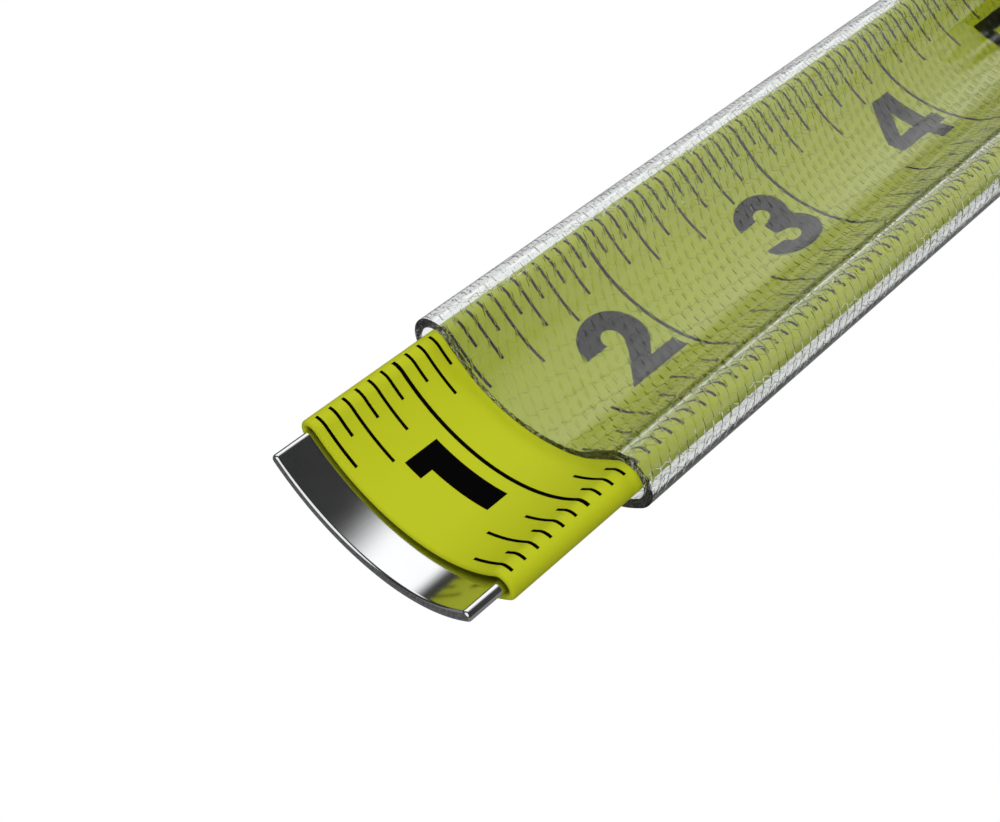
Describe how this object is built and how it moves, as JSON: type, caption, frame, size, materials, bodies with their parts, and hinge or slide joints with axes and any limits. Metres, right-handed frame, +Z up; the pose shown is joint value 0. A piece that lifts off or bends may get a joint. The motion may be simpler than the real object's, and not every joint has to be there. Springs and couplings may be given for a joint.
{
  "type": "tape measure",
  "caption": "Pocket tape measure: cupped steel blade with printed sleeve and clear jacket, spring reel, two-shell case, thumb lock and belt clip.",
  "frame": {"origin": "the middle of the case's flat base, on the surface it stands on", "axes": "+X is the way the blade is pulled out, +Z is up, +Y is the case's left side; the belt clip is on the right"},
  "size_m": [0.2272, 0.0491, 0.0803],
  "materials": {
    "blade_steel": "polished spring steel",
    "coat": "satin yellow-green, black printed scale",
    "jacket": "clear nylon with an embossed pattern",
    "shell": "fine-textured ABS",
    "rubber": "soft matt overmould",
    "button": "satin",
    "reel_plastic": "acetal",
    "white_plastic": "smooth, low friction",
    "spring_steel": "blued spring steel",
    "clip_steel": "brushed, nickel plated",
    "screw_steel": "zinc plated"
  },
  "bodies": {
    "case": {"case_left": "shell", "case_right": "shell", "grip_left": "rubber", "grip_right": "rubber", "mouth_guide": "white_plastic", "nose_bumper": "rubber", "badge": "clip_steel", "spindle": "spring_steel", "power_spring": "spring_steel", "slip_disc_left": "white_plastic", "slip_disc_right": "white_plastic", "clip_plate": "clip_steel", "clip_screw": "screw_steel", "case_screw_1": "screw_steel", "case_screw_2": "screw_steel", "case_screw_3": "screw_steel", "case_screw_4": "screw_steel"},
    "blade": {"steel_core": "blade_steel", "printed_coat": "coat", "clear_jacket": "jacket", "blade_tail": "coat"},
    "reel": {"blade_coil": "coat", "reel_drum": "reel_plastic", "reel_cover": "reel_plastic"},
    "lock": {"lock_button": "button", "lock_tongue": "reel_plastic", "lock_pad": "rubber"},
    "clip": {"clip_arm": "clip_steel"}
  },
  "joints": [
    {"name": "blade_slide", "type": "slide", "parent": "case", "child": "blade", "axis": [1, 0, 0], "range_m": [-0.03, 0.026]},
    {"name": "reel_spin", "type": "hinge", "parent": "case", "child": "reel", "pos_m": [-0.009, 0, 0.0435], "axis": [0, -1, 0], "range_deg": [-61.5, 53.3]},
    {"name": "lock_slide", "type": "slide", "parent": "case", "child": "lock", "axis": [-0.3714, 0, 0.9285], "range_m": [0, 0.009]},
    {"name": "clip_flex", "type": "hinge", "parent": "case", "child": "clip", "pos_m": [-0.009, -0.02305, 0.066], "axis": [-1, 0, 0], "range_deg": [0, 6], "stiffness_Nm_per_rad": 0.5}
  ],
  "couplings": [
    {"joint": "reel_spin", "follows": "blade_slide", "rad_per_m": 35.714}
  ]
}
